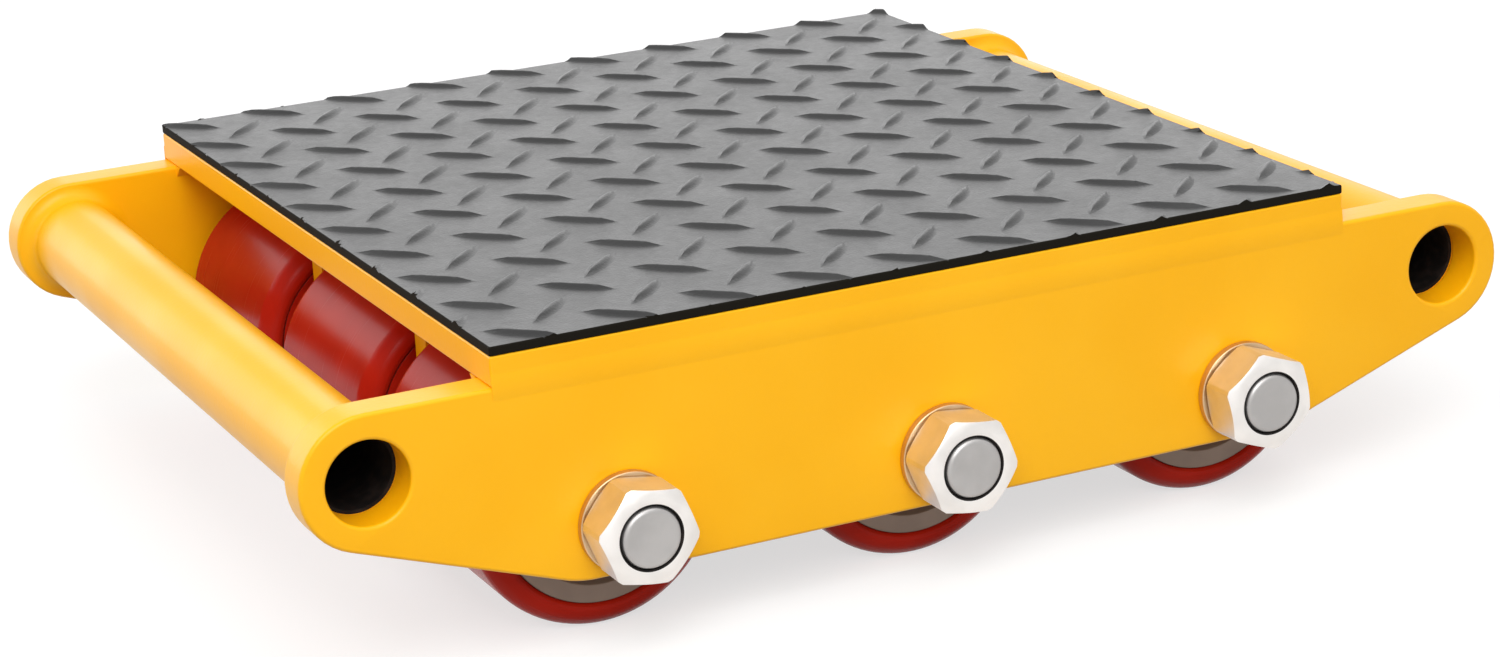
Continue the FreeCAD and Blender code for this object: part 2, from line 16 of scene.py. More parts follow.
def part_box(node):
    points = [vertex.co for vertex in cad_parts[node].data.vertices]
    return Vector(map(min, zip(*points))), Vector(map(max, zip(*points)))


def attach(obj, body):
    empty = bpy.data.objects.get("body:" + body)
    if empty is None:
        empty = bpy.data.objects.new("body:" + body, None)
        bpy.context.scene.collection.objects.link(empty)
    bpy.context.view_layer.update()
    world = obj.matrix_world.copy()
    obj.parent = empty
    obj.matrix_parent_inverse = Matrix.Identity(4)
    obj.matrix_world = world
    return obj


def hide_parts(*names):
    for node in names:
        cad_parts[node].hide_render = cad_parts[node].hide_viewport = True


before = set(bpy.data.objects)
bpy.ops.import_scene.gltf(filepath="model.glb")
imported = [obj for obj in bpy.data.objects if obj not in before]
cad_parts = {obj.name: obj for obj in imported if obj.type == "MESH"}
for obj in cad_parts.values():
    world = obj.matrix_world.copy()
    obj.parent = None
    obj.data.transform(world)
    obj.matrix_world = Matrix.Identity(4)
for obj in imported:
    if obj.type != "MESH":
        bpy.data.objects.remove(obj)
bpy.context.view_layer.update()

# %% [markdown]
# ## Arithmetic for materials
# A material is a graph of nodes, and a graph is slow to read. Nodes could be made and linked one
# line at a time, but then a short formula fills a page. So one small class stands for a node's
# output: adding or multiplying two of them adds a Math node, and any other node comes from `node`.


# %% A socket that can stand in a formula
class Wire:
    """One output of a shader node, which can be added, multiplied and so on."""

    def __init__(self, tree, socket=None):
        self.tree = tree
        self.socket = socket

    def node(self, kind, settings=None, inputs=None, output=0):
        """Add a node: its settings first, then the values or wires of its sockets."""
        made = self.tree.nodes.new(kind)
        for name, value in (settings or {}).items():
            setattr(made, name, value)
        for key, value in (inputs or {}).items():
            if isinstance(value, Wire):
                self.tree.links.new(value.socket, made.inputs[key])
            else:
                made.inputs[key].default_value = value
        return Wire(self.tree, made.outputs[output] if made.outputs else None)

    def math(self, operation, first, second=0.0):
        """Add a Math node that works on numbers or wires."""
        return self.node("ShaderNodeMath", {"operation": operation}, {0: first, 1: second})

    def __add__(self, other):
        return self.math("ADD", self, other)

    def __radd__(self, other):
        return self.math("ADD", other, self)

    def __sub__(self, other):
        return self.math("SUBTRACT", self, other)

    def __rsub__(self, other):
        return self.math("SUBTRACT", other, self)

    def __mul__(self, other):
        return self.math("MULTIPLY", self, other)

    def __rmul__(self, other):
        return self.math("MULTIPLY", other, self)

    def step(self, low, high):
        """A soft step: 0 below low, 1 above high."""
        settings = {"interpolation_type": "SMOOTHSTEP"}
        inputs = {"Value": self, "From Min": low, "From Max": high}
        return self.node("ShaderNodeMapRange", settings, inputs)

    def mix(self, first, second):
        """Go from one colour to another as this wire goes from 0 to 1."""
        return self.node("ShaderNodeMix", {"data_type": "RGBA"}, {0: self, 6: first, 7: second}, 2)

    def bump(self, distance, strength=1.0):
        """Use this wire as a height, where 1 stands for the distance in metres."""
        inputs = {"Height": self, "Distance": distance, "Strength": strength}
        return self.node("ShaderNodeBump", None, inputs)


print("Wire is ready")

# %% [markdown]
# ## Helpers that every finish shares
# All patterns are read from Object coordinates, in metres, so a grain of one millimetre is one
# millimetre on every piece, however large it is. UV maps would do as well, but they have to be
# unwrapped piece by piece.

# %% Start a material
MM = 0.001


def new_finish(name):
    """An empty material and a wire of the place on the piece, in metres."""
    material = bpy.data.materials.new(name)
    material.use_nodes = True
    material.node_tree.nodes.clear()
    start = Wire(material.node_tree)
    return material, start.node("ShaderNodeTexCoord", output="Object")


def noise(place, size, detail=2.0, stretch=None):
    """Noise with blotches of about a size in metres; stretch widens it along an axis."""
    if stretch:
        place = place.node("ShaderNodeMapping", None, {"Vector": place, "Scale": stretch})
    inputs = {"Vector": place, "Scale": 1 / size, "Detail": detail}
    return place.node("ShaderNodeTexNoise", None, inputs)


def surface(place, **sockets):
    """Join the finish to the material's output: one Principled shader with these sockets."""
    inputs = {}
    for name, value in sockets.items():
        inputs[name.replace("_", " ").title().replace("Ior", "IOR")] = value
    shader = place.node("ShaderNodeBsdfPrincipled", None, inputs)
    place.node("ShaderNodeOutputMaterial", None, {"Surface": shader})


print("finish helpers are ready")

# %% [markdown]
# ## Yellow powder coat
# The frame is sprayed with powder that melts into a thick glossy skin. Two things tell it from
# plain yellow: a fine waviness called orange peel, and slow drifts in tone where the coat is a
# little thicker. Both come from noise, one at a millimetre and one at some centimetres.

# %% Powder coat
powder_coat, place = new_finish("powder_coat")
drift = noise(place, 60 * MM).step(0.35, 0.65)
peel = noise(place, 1.6 * MM, detail=1.0)
surface(
    place,
    base_color=drift.mix((0.97, 0.460, 0.002, 1), (0.99, 0.485, 0.003, 1)),
    roughness=0.38 - 0.06 * drift,
    specular_ior_level=0.24,
    coat_weight=0.06 + 0.04 * drift,
    coat_roughness=0.15,
    normal=peel.bump(0.06 * MM),
)
print("made", powder_coat.name)

# %% [markdown]
# ## Black rubber
# The mat is black rubber. Seen at a low angle it turns grey, because a matt surface still
# reflects a bright room, and a dusting of talc from the mould makes it greyer. So the base stays
# dark and the roughness does the rest. Fine noise gives the moulded grain. Where the sheet was
# cut, the rubber never touched the mould: there it is dull and almost black.

# %% Mat rubber
mat_rubber, place = new_finish("moulded_rubber")
grain = noise(place, 0.9 * MM, detail=3.0)
bloom = noise(place, 30 * MM, detail=3.0).step(0.3, 0.7)
mottle = noise(place, 3.5 * MM, detail=3.0)
surface(
    place,
    base_color=bloom.mix((0.008, 0.008, 0.008, 1), (0.013, 0.013, 0.013, 1)),
    roughness=0.22 + 0.05 * bloom + 0.08 * grain + 0.12 * mottle,
    specular_ior_level=0.58,
    normal=grain.bump(0.10 * MM),
)
print("made", mat_rubber.name)

# %% Cut rubber
cut_rubber, place = new_finish("cut_rubber")
tear = noise(place, 0.6 * MM)
surface(
    place,
    base_color=tear.mix((0.006, 0.005, 0.003, 1), (0.011, 0.009, 0.006, 1)),
    roughness=0.7 + 0.15 * tear,
    specular_ior_level=0.08,
    normal=tear.bump(0.10 * MM),
)
print("made", cut_rubber.name)

# %% [markdown]
# ## Red polyurethane
# The rollers' tyres are cast polyurethane, turned to size on a lathe. The turning leaves very fine
# rings round the tyre, so the pattern hardly changes round the axle and only runs along it.

# %% Tyre polyurethane
tyre_red, place = new_finish("tyre_red")
rings = noise(place, 0.7 * MM, stretch=(0.02, 1, 0.02))
cloud = noise(place, 25 * MM).step(0.3, 0.7)
surface(
    place,
    base_color=cloud.mix((0.43, 0.014, 0.005, 1), (0.48, 0.018, 0.007, 1)),
    roughness=0.22 + 0.08 * rings,
    specular_ior_level=0.08,
    normal=rings.bump(0.04 * MM),
)
print("made", tyre_red.name)

# %% [markdown]
# ## Turned metals
# The bare metals differ in brightness, in roughness and in the marks of the tool that made them.
# Axles and roller cores are turned, so their marks are circles about the axle. A Mapping node
# moves the pattern's centre to that axle, which is why each axle has its own copy of the finish.

# %% Core and axle steel
COLUMNS = ("left", "centre", "right")
STAIN_TONE = 0.86

axle_middle = {}
for column in COLUMNS:
    low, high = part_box(f"axle_{column}")
    axle_middle[column] = (low + high) / 2


def turned_metal(name, middle, colour, roughness, metallic, mark):
    """Bare metal with tool marks in circles about the axle through a point."""
    material, place = new_finish(name)
    inputs = {"Vector": place, "Location": (-middle.x, 0, -middle.z)}
    centred = place.node("ShaderNodeMapping", None, inputs)
    across = centred.node("ShaderNodeSeparateXYZ", None, {"Vector": centred})
    up = Wire(across.tree, across.socket.node.outputs["Z"])
    radius = across.math("SQRT", across * across + up * up)
    marks = noise(place.node("ShaderNodeCombineXYZ", None, {"X": radius}), mark, detail=3.0)
    stain = noise(place, 12 * MM, detail=3.0).step(0.3, 0.75)
    stained = tuple(STAIN_TONE * part for part in colour)
    surface(
        place,
        base_color=stain.mix((*stained, 1), (*colour, 1)),
        metallic=metallic,
        roughness=roughness + 0.12 * marks,
        normal=marks.bump(0.05 * MM),
    )
    return material


core_steel = {}
axle_steel = {}
for column, middle in axle_middle.items():
    core_steel[column] = turned_metal(
        f"core_steel_{column}", middle, (0.23, 0.17, 0.135),
        roughness=0.45, metallic=0.6, mark=0.6 * MM,
    )
    axle_steel[column] = turned_metal(
        f"axle_steel_{column}", middle, (0.47, 0.455, 0.445),
        roughness=0.36, metallic=0.9, mark=0.5 * MM,
    )
print("made", len(core_steel) + len(axle_steel), "turned metals")

# %% [markdown]
# ## Plated and ground metals
# The nuts are plated with bright zinc. The washers are zinc as well, with a tan tint that is a
# painted reflection of the yellow plate. Spacers and bearing rings are ground steel, and the ball
# cages are brass. None of them shows the way the tool went, so a fine even noise is enough for
# their grain.

# %% Zinc, ring steel and brass
CLOUD_TONE = 0.9


def plain_metal(name, colour, roughness, grain):
    """Bright metal with a faint even grain."""
    material, place = new_finish(name)
    pits = noise(place, grain, detail=3.0)
    cloud = noise(place, 10 * MM).step(0.3, 0.7)
    clouded = tuple(CLOUD_TONE * part for part in colour)
    surface(
        place,
        base_color=cloud.mix((*clouded, 1), (*colour, 1)),
        metallic=1.0,
        roughness=roughness + 0.10 * pits,
        normal=pits.bump(0.03 * MM),
    )
    print("made", name)
    return material


zinc_plate = plain_metal("bright_zinc", (0.83, 0.80, 0.77), roughness=0.40, grain=1.1 * MM)
# Painted reflection: the washers' zinc is tinted tan for the yellow plate it mirrors
zinc_with_painted_reflection = plain_metal("zinc_with_painted_reflection", (0.66, 0.46, 0.27), roughness=0.36, grain=0.9 * MM)
bearing_steel = plain_metal("ring_steel", (0.62, 0.62, 0.63), roughness=0.18, grain=0.6 * MM)
cage_brass = plain_metal("pressed_brass", (0.72, 0.47, 0.16), roughness=0.25, grain=0.8 * MM)

# %% [markdown]
# ## The bearings' seals, the dark bore of the tie tubes, and painted shade
# Small and mostly hidden, but they still need more than one flat colour. The seals are pressed
# rubber. The tubes' bores are bare steel as it comes from the mill; their near-black tone is
# partly that steel and partly painted shade for the deep bore. The nuts' countersinks and bores
# get the same near-black finish as painted shade.

# %% Seal rubber
seal_rubber, place = new_finish("lip_rubber")
pores = noise(place, 0.7 * MM)
surface(
    place,
    base_color=pores.mix((0.012, 0.012, 0.013, 1), (0.022, 0.022, 0.023, 1)),
    roughness=0.55 + 0.1 * pores,
    normal=pores.bump(0.04 * MM),
)
print("made", seal_rubber.name)

# %% Mill scale and painted shade
mill_scale_and_painted_shade, place = new_finish("mill_scale_and_painted_shade")
flakes = noise(place, 4 * MM, detail=4.0)
surface(
    place,
    # Near-black base: partly bare mill steel, partly painted shade for bores and countersinks
    base_color=flakes.step(0.4, 0.7).mix((0.006, 0.005, 0.005, 1), (0.020, 0.015, 0.013, 1)),
    roughness=0.6 + 0.2 * flakes,
    specular_ior_level=0.2,
    normal=flakes.bump(0.1 * MM),
)
print("made", mill_scale_and_painted_shade.name)

# %% [markdown]
# ## From a bmesh to a finished piece
# Each piece below ends the same way: its faces are turned outwards and shaded smooth, its real
# corners are kept crisp, it is parented to an empty for the body it rides on, and the CAD nodes it
# stands in for are hidden. A Weighted Normal modifier lets the large flat faces stay flat beside
# their rounded edges.

# %% Finish a piece
CRISP = math.radians(50)


def add_piece(name, bm, body, slot, finishes, *nodes):
    """Make an object of a bmesh, dress it and seat it on its body."""
    bmesh.ops.recalc_face_normals(bm, faces=bm.faces)
    mesh = bpy.data.meshes.new(name)
    bm.to_mesh(mesh)
    bm.free()
    mesh.shade_smooth()
    mesh.set_sharp_from_angle(angle=CRISP)
    for finish in finishes:
        mesh.materials.append(finish)
    piece = bpy.data.objects.new(name, mesh)
    bpy.context.scene.collection.objects.link(piece)
    even = piece.modifiers.new("even_light", "WEIGHTED_NORMAL")
    even.keep_sharp = True
    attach(piece, body)
    if nodes:
        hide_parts(*nodes)
    print(name, len(mesh.polygons), "faces")


print("pieces can be finished")

# %% [markdown]
# ## Side plates
# Each side of the frame is one thick plate with an ear at both ends. It could be cut from a box
# with booleans, but the outline is simple: the ear's round is a single vertex spun about the ear's
# hole, and the other half is the mirror image of the first.

# %% Draw the plate's outline
FOOT = Vector((128.5 * MM, 0, 25 * MM))
FOOT_ROUND = 5 * MM
FOOT_STEPS = 6
EAR_STEPS = 20
MERGE = 0.001 * MM

plate_low, plate_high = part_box("side_plate_near")
tube_low, tube_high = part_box("tie_tube_right")
ear = (tube_low + tube_high) / 2
ear_radius = plate_high.x - ear.x


def chain(bm, points):
    """A few vertices joined in a row; returns them."""
    row = [bm.verts.new(point) for point in points]
    for start, end in zip(row, row[1:]):
        bm.edges.new((start, end))
    return row


def verts_of(items):
    """The vertices among what an operator returned."""
    return [item for item in items if isinstance(item, bmesh.types.BMVert)]


def plate_outline(bm):
    """Draw the plate's outline in the XZ plane, as a closed loop of edges."""
    run = ear - FOOT
    run.y = 0
    slope = math.atan2(run.z, run.x) - math.asin(ear_radius / run.length)
    reach = math.sqrt(run.length ** 2 - ear_radius ** 2)
    touch = FOOT + Vector((math.cos(slope), 0, math.sin(slope))) * reach
    _, foot, start = chain(bm, [(0, 0, FOOT.z), FOOT, touch])
    spun = bmesh.ops.spin(
        bm, geom=[start], cent=(ear.x, 0, ear.z), axis=(0, 1, 0),
        angle=slope - math.pi, steps=EAR_STEPS,
    )
    middle_high = bm.verts.new((0, 0, plate_high.z))
    bm.edges.new((verts_of(spun["geom_last"])[0], middle_high))
    bmesh.ops.bevel(
        bm, geom=[foot], offset=FOOT_ROUND, segments=FOOT_STEPS, profile=0.5,
        affect="VERTICES", material=-1,
    )
    bmesh.ops.mirror(bm, geom=bm.verts[:] + bm.edges[:], axis="X", merge_dist=MERGE)


trial = bmesh.new()
plate_outline(trial)
print("outline:", len(trial.edges), "edges")
trial.free()

# %% [markdown]
# With the outline drawn, each plate is four steps: add the hole circles, fill between the loops,
# extrude the sheet to the plate's thickness, and round every edge at once by insets that each rise
# a little. The axle holes are drawn as well, although washers cover them, because a plate with
# real holes is a better part.

# %% Make both side plates
PLATE_EDGE = 1.3 * MM
PLATE_EDGE_STEPS = 3
EAR_HOLE = 13.5 * MM
AXLE_HOLE = 10.25 * MM
HOLE_STEPS = 64
FACING_Y = 0.99
LYING = Matrix.Rotation(math.pi / 2, 4, "X")


def round_caps(bm, radius):
    """Round the rim of every face that looks along Y, by insets that each rise a little."""
    share = math.pi / 2 / PLATE_EDGE_STEPS
    for step in range(PLATE_EDGE_STEPS):
        start, end = step * share, (step + 1) * share
        caps = [face for face in bm.faces if abs(face.normal.y) > FACING_Y]
        bmesh.ops.inset_region(
            bm, faces=caps, use_boundary=True, use_even_offset=True,
            thickness=radius * (math.cos(start) - math.cos(end)),
            depth=radius * (math.sin(end) - math.sin(start)),
        )


def side_plate(side):
    name = f"side_plate_{side}"
    low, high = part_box(name)
    bm = bmesh.new()
    plate_outline(bm)
    holes = [(ear.x, ear.z, EAR_HOLE), (-ear.x, ear.z, EAR_HOLE)]
    holes += [(middle.x, middle.z, AXLE_HOLE) for middle in axle_middle.values()]
    for x, z, radius in holes:
        there = Matrix.Translation((x, 0, z)) @ LYING
        bmesh.ops.create_circle(bm, segments=HOLE_STEPS, radius=radius, matrix=there)
    bmesh.ops.triangle_fill(bm, edges=bm.edges, use_beauty=True)
    bmesh.ops.translate(bm, verts=bm.verts, vec=(0, low.y + PLATE_EDGE, 0))
    grown = bmesh.ops.extrude_face_region(bm, geom=bm.faces[:])
    thickness = high.y - low.y - 2 * PLATE_EDGE
    bmesh.ops.translate(bm, verts=verts_of(grown["geom"]), vec=(0, thickness, 0))
    bmesh.ops.recalc_face_normals(bm, faces=bm.faces)
    round_caps(bm, PLATE_EDGE)
    add_piece(f"{name}_painted", bm, "frame", "yellow_paint", [powder_coat], name)


for side in ("near", "far"):
    side_plate(side)

# %% [markdown]
# ## Deck plate
# The deck is a flat plate that lies on the side plates, with its edges flush with their outer
# faces. A cube, scaled to the CAD node's box and bevelled, is all it needs.

# %% Make the deck plate
DECK_EDGE = 0.8 * MM
CORNER = math.radians(28)


def box_between(bm, low, high):
    """A cube stretched between two corners."""
    stretch = Matrix.Diagonal((high - low).to_4d())
    bmesh.ops.create_cube(bm, size=1, matrix=Matrix.Translation((low + high) / 2) @ stretch)


def soften(bm, width, segments=3, corner=CORNER):
    """Round the edges where two faces meet at more than the corner angle."""
    sharp = [edge for edge in bm.edges if edge.is_manifold and edge.calc_face_angle() > corner]
    bmesh.ops.bevel(
        bm, geom=sharp, offset=width, offset_type="OFFSET", segments=segments, profile=0.5,
        affect="EDGES", clamp_overlap=True, material=-1,
    )


deck_low, deck_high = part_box("deck_plate")
deck = bmesh.new()
box_between(deck, deck_low, deck_high)
soften(deck, DECK_EDGE)
add_piece("deck_plate_painted", deck, "frame", "yellow_paint", [powder_coat], "deck_plate")

# %% [markdown]
# The seam where deck and side plate meet was welded, ground flat and painted over: it shows only
# as a soft band. A bump in the material could hint at it, but it would not hide the line between
# the two plates. A very shallow arc, extruded along the deck, covers that line as the weld does.

# %% Make the ground seams
SEAM_HALF_WIDTH = 5 * MM
SEAM_RISE = 0.25 * MM
SEAM_ROOT = 0.1 * MM
SEAM_STEPS = 8


def ground_seam(side, face_y, outward):
    """A shallow ground weld along the joint between the deck and a side plate."""
    rise = SEAM_RISE + SEAM_ROOT
    radius = (SEAM_HALF_WIDTH ** 2 + rise ** 2) / (2 * rise)
    spread = math.asin(SEAM_HALF_WIDTH / radius)
    joint = Vector((deck_low.x, face_y, deck_low.z))
    foot = joint - Vector((0, outward * SEAM_ROOT, SEAM_HALF_WIDTH))
    centre = joint + Vector((0, outward * (SEAM_RISE - radius), 0))
    bm = bmesh.new()
    start = bm.verts.new(foot)
    bmesh.ops.spin(
        bm, geom=[start], cent=centre, axis=(1, 0, 0),
        angle=2 * outward * spread, steps=SEAM_STEPS,
    )
    bmesh.ops.contextual_create(bm, geom=bm.verts[:] + bm.edges[:])
    bmesh.ops.edgeloop_fill(bm, edges=[edge for edge in bm.edges if edge.is_wire])
    grown = bmesh.ops.extrude_face_region(bm, geom=bm.faces[:])
    along = Vector((deck_high.x - deck_low.x, 0, 0))
    bmesh.ops.translate(bm, verts=verts_of(grown["geom"]), vec=along)
    add_piece(f"ground_seam_{side}", bm, "frame", "yellow_paint", [powder_coat])


ground_seam("near", deck_low.y, -1)
ground_seam("far", deck_high.y, 1)

# %% [markdown]
# ## A lathe for round pieces
# Tubes, weld beads, rollers, washers and nuts are turned shapes: draw half of the section once, as
# a loop of points given by radius and place along the axle, and spin it about Y. A cylinder with
# cuts would do for some of them, but one lathe serves them all.

# %% A lathe
LATHE_STEPS = 72
FINE_MERGE = 0.0001 * MM


def section(bm, points):
    """Draw a closed loop of points, each a radius and a place along the axle."""
    row = chain(bm, [(radius, along, 0) for radius, along in points])
    bm.edges.new((row[-1], row[0]))


def turn(bm, middle, steps=LATHE_STEPS):
    """Spin everything in a bmesh about the Y axis and move it to its middle."""
    bmesh.ops.spin(
        bm, geom=bm.verts[:] + bm.edges[:], cent=(0, 0, 0), axis=(0, 1, 0),
        angle=math.tau, steps=steps, use_merge=True,
    )
    bmesh.ops.remove_doubles(bm, verts=bm.verts, dist=FINE_MERGE)
    bmesh.ops.recalc_face_normals(bm, faces=bm.faces)
    bmesh.ops.translate(bm, verts=bm.verts, vec=middle)


print("the lathe is ready")

# %% [markdown]
# ## Tie tubes
# A tie tube joins the ears at each end of the skate. Its bore is bare steel, and so is the narrow
# ledge of its end that shows inside the ear's hole; their near-black tone is partly painted shade.
# Two pieces could share the work, but one tube with two finishes is simpler: the faces within a
# radius get the second one.

# %% Make the tie tubes
TUBE = 16 * MM
TUBE_BORE = 12.5 * MM
TUBE_END_SHOWN = 13.7 * MM


def second_finish(bm, chosen):
    """Give a piece's second finish to the faces whose middle is chosen."""
    for face in bm.faces:
        if chosen(face.calc_center_median()):
            face.material_index = 1


def tie_tube(end):
    name = f"tie_tube_{end}"
    low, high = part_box(name)
    middle = (low + high) / 2
    half = (high.y - low.y) / 2
    bm = bmesh.new()
    section(bm, [
        (TUBE_BORE, -half), (TUBE_END_SHOWN, -half), (TUBE, -half),
        (TUBE, half), (TUBE_END_SHOWN, half), (TUBE_BORE, half),
    ])
    turn(bm, middle)
    # Partly painted shade: the bore and the end ledge get the near-black finish
    second_finish(bm, lambda spot: (spot - middle).xz.length < TUBE_END_SHOWN)
    finishes = [powder_coat, mill_scale_and_painted_shade]
    add_piece(f"{name}_painted", bm, "frame", "yellow_paint", finishes, name)


for end in ("left", "right"):
    tie_tube(end)

# %% [markdown]
# ## Welds round the tubes
# A weld bead fills the corner between tube and plate with a hollow face. A plain triangle would
# look like a machined collar, so the face is a vertex spun through a quarter turn, before the
# whole section goes on the lathe. All four beads become one piece, as they share one CAD node.

# %% Make the welds round the tube ends
WELD_LEG = 5 * MM
WELD_STEPS = 8


def gather(pieces):
    """Join several bmeshes into one."""
    whole = bmesh.new()
    for bm in pieces:
        part = bpy.data.meshes.new("part")
        bm.to_mesh(part)
        bm.free()
        whole.from_mesh(part)
        bpy.data.meshes.remove(part)
    return whole


def tube_weld(tube_x, wall_y, inward):
    bm = bmesh.new()
    root, toe = chain(bm, [(TUBE, 0, 0), (TUBE + WELD_LEG, 0, 0)])
    spun = bmesh.ops.spin(
        bm, geom=[toe], cent=(TUBE + WELD_LEG, inward * WELD_LEG, 0), axis=(0, 0, 1),
        angle=-inward * math.pi / 2, steps=WELD_STEPS,
    )
    bm.edges.new((verts_of(spun["geom_last"])[0], root))
    turn(bm, (tube_x, wall_y, ear.z))
    return bm


walls = ((plate_high.y, 1), (-plate_high.y, -1))
welds = gather([tube_weld(x, y, inward) for x in (-ear.x, ear.x) for y, inward in walls])
add_piece("tube_welds_painted", welds, "frame", "yellow_paint", [powder_coat], "tube_welds")

# %% [markdown]
# ## Rubber mat
# The mat is a sheet with rows of pointed lugs, two families crossed at right angles. A bump map
# would show them, but not in the mat's outline. One lug is made from a flat lens, two spun arcs
# filled with a face, which is extruded upwards five times and narrows as it rises.

# %% Make one lug
LUG_LENGTH = 29 * MM
LUG_WIDTH = 6.4 * MM
LUG_HEIGHT = 1.4 * MM
LUG_ROOT = 0.4 * MM
LUG_STEPS = 5
# Each storey of a lug: its height, length and width, as shares of the whole lug's
LUG_STOREYS = (
    (0.0, 1.0, 1.0), (0.14, 0.88, 0.76), (0.5, 0.72, 0.52), (0.86, 0.54, 0.28), (1.0, 0.32, 0.08),
)


def one_lug():
    """A lug at the origin, long side along X, rooted below Z = 0."""
    bm = bmesh.new()
    half = LUG_LENGTH / 2
    bulge = LUG_WIDTH / 2
    radius = (half ** 2 + bulge ** 2) / (2 * bulge)
    spread = math.asin(half / radius)
    tip = bm.verts.new((half, 0, -LUG_ROOT))
    centre = (0, bulge - radius, -LUG_ROOT)
    bmesh.ops.spin(bm, geom=[tip], cent=centre, axis=(0, 0, 1), angle=2 * spread, steps=LUG_STEPS)
    bmesh.ops.mirror(bm, geom=bm.verts[:] + bm.edges[:], axis="Y", merge_dist=MERGE)
    bmesh.ops.contextual_create(bm, geom=bm.edges[:])
    level, length, width = -LUG_ROOT, 1.0, 1.0
    for share_up, share_long, share_wide in LUG_STOREYS:
        top = max(bm.faces, key=lambda face: face.calc_center_median().z)
        grown = bmesh.ops.extrude_face_region(bm, geom=[top])
        # Extruding leaves the old face behind: the first is the underside, the others go
        if level > -LUG_ROOT:
            bmesh.ops.delete(bm, geom=[top], context="FACES_ONLY")
        rim = verts_of(grown["geom"])
        bmesh.ops.translate(bm, verts=rim, vec=(0, 0, share_up * LUG_HEIGHT - level))
        bmesh.ops.scale(bm, verts=rim, vec=(share_long / length, share_wide / width, 1))
        level, length, width = share_up * LUG_HEIGHT, share_long, share_wide
    bmesh.ops.recalc_face_normals(bm, faces=bm.faces)
    return bm


pattern = one_lug()
print("one lug:", len(pattern.faces), "faces")

# %% [markdown]
# Copies of the lug are laid out on the mat's grid. Array modifiers could do that for a straight
# grid, but here two grids cross and the sheet was glued on a little askew, so a loop places every
# lug by a matrix.

# %% Lay out the lugs
LUG_PITCH = Vector((33.2 * MM, 34.8 * MM))
LUG_START = Vector((-9.5 * MM, 19.5 * MM))
LUG_SKEW = math.radians(1.2)
LUG_TURN = math.radians(45)
LUG_REACH = range(-6, 7)
LUG_OVERHANG = LUG_LENGTH / 3
MAT_THICKNESS = 3 * MM

mat_low, mat_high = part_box("deck_mat")
mat_top = mat_low.z + MAT_THICKNESS
skew = Matrix.Rotation(LUG_SKEW, 4, "Z")
lug_mesh = bpy.data.meshes.new("lug_pattern")
pattern.to_mesh(lug_mesh)
pattern.free()

lugs = bmesh.new()
for along in LUG_REACH:
    for aside in LUG_REACH:
        for half, angle in ((0, -LUG_TURN), (0.5, LUG_TURN)):
            spot = skew @ Vector((
                LUG_START.x + (along + half) * LUG_PITCH.x,
                LUG_START.y + (aside + half) * LUG_PITCH.y,
                mat_top,
            ))
            if max(abs(spot.x) - mat_high.x, abs(spot.y) - mat_high.y) > LUG_OVERHANG:
                continue
            first = len(lugs.verts)
            lugs.from_mesh(lug_mesh)
            lugs.verts.ensure_lookup_table()
            there = Matrix.Translation(spot) @ skew @ Matrix.Rotation(angle, 4, "Z")
            bmesh.ops.transform(lugs, matrix=there, verts=lugs.verts[first:])
print("laid out", len(lugs.verts) // len(lug_mesh.vertices), "lugs")
bpy.data.meshes.remove(lug_mesh)

# %% [markdown]
# Four planes cut off what hangs over the edge, as the knife did with the real sheet. Lugs and
# sheet then become one piece, and the faces along the cut get the dull cut rubber.

# %% Make the mat
MAT_EDGE = 0.5 * MM


def cut(bm, point, outward, close):
    """Cut off what lies outward of a plane through a point, and fill the cut."""
    everything = bm.verts[:] + bm.edges[:] + bm.faces[:]
    bmesh.ops.bisect_plane(
        bm, geom=everything, dist=close, plane_co=point, plane_no=outward, clear_outer=True
    )
    bmesh.ops.holes_fill(bm, edges=[edge for edge in bm.edges if edge.is_boundary])


def at_mat_edge(spot):
    return max(abs(spot.x) - mat_high.x, abs(spot.y) - mat_high.y) > -MAT_EDGE


for corner, outward in ((mat_high, 1), (mat_low, -1)):
    for axis in (Vector((1, 0, 0)), Vector((0, 1, 0))):
        cut(lugs, corner, outward * axis, MERGE)
sheet = bmesh.new()
box_between(sheet, mat_low, Vector((mat_high.x, mat_high.y, mat_top)))
soften(sheet, MAT_EDGE, segments=2)
mat = gather([sheet, lugs])
second_finish(mat, at_mat_edge)
add_piece("deck_mat_moulded", mat, "frame", "mat_rubber", [mat_rubber, cut_rubber], "deck_mat")

# %% [markdown]
# ## Rollers
# Nine rollers, each a red tyre cast on a metal core. Both are turned shapes. The tyre has a bevel
# at both ends, and its corners are softened, because a crisp corner would look like hard plastic.
# Every roller rides on its own body.

# %% Draw a tyre
ROLLER_STEPS = 96
TYRE_WALL = 8.5 * MM
TYRE_BEVEL_LENGTH = 4.5 * MM
TYRE_BEVEL_DEPTH = 4 * MM
TYRE_EDGE = 2.2 * MM


def round_size(node):
    """Half the length, the radius and the middle of a round CAD node."""
    low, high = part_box(node)
    return (high.y - low.y) / 2, (high.z - low.z) / 2, (low + high) / 2


def tyre(roller):
    node = f"tread_{roller}"
    half, radius, middle = round_size(node)
    inner, end = radius - TYRE_WALL, radius - TYRE_BEVEL_DEPTH
    bm = bmesh.new()
    section(bm, [
        (inner, -half), (end, -half), (radius, TYRE_BEVEL_LENGTH - half),
        (radius, half - TYRE_BEVEL_LENGTH), (end, half), (inner, half),
    ])
    turn(bm, middle, ROLLER_STEPS)
    soften(bm, TYRE_EDGE, segments=4)
    add_piece(f"tyre_{roller}", bm, f"roller_{roller}", "roller_polyurethane", [tyre_red], node)


print("tyres are", round(2 * round_size("tread_left_near")[1] / MM, 1), "mm across")

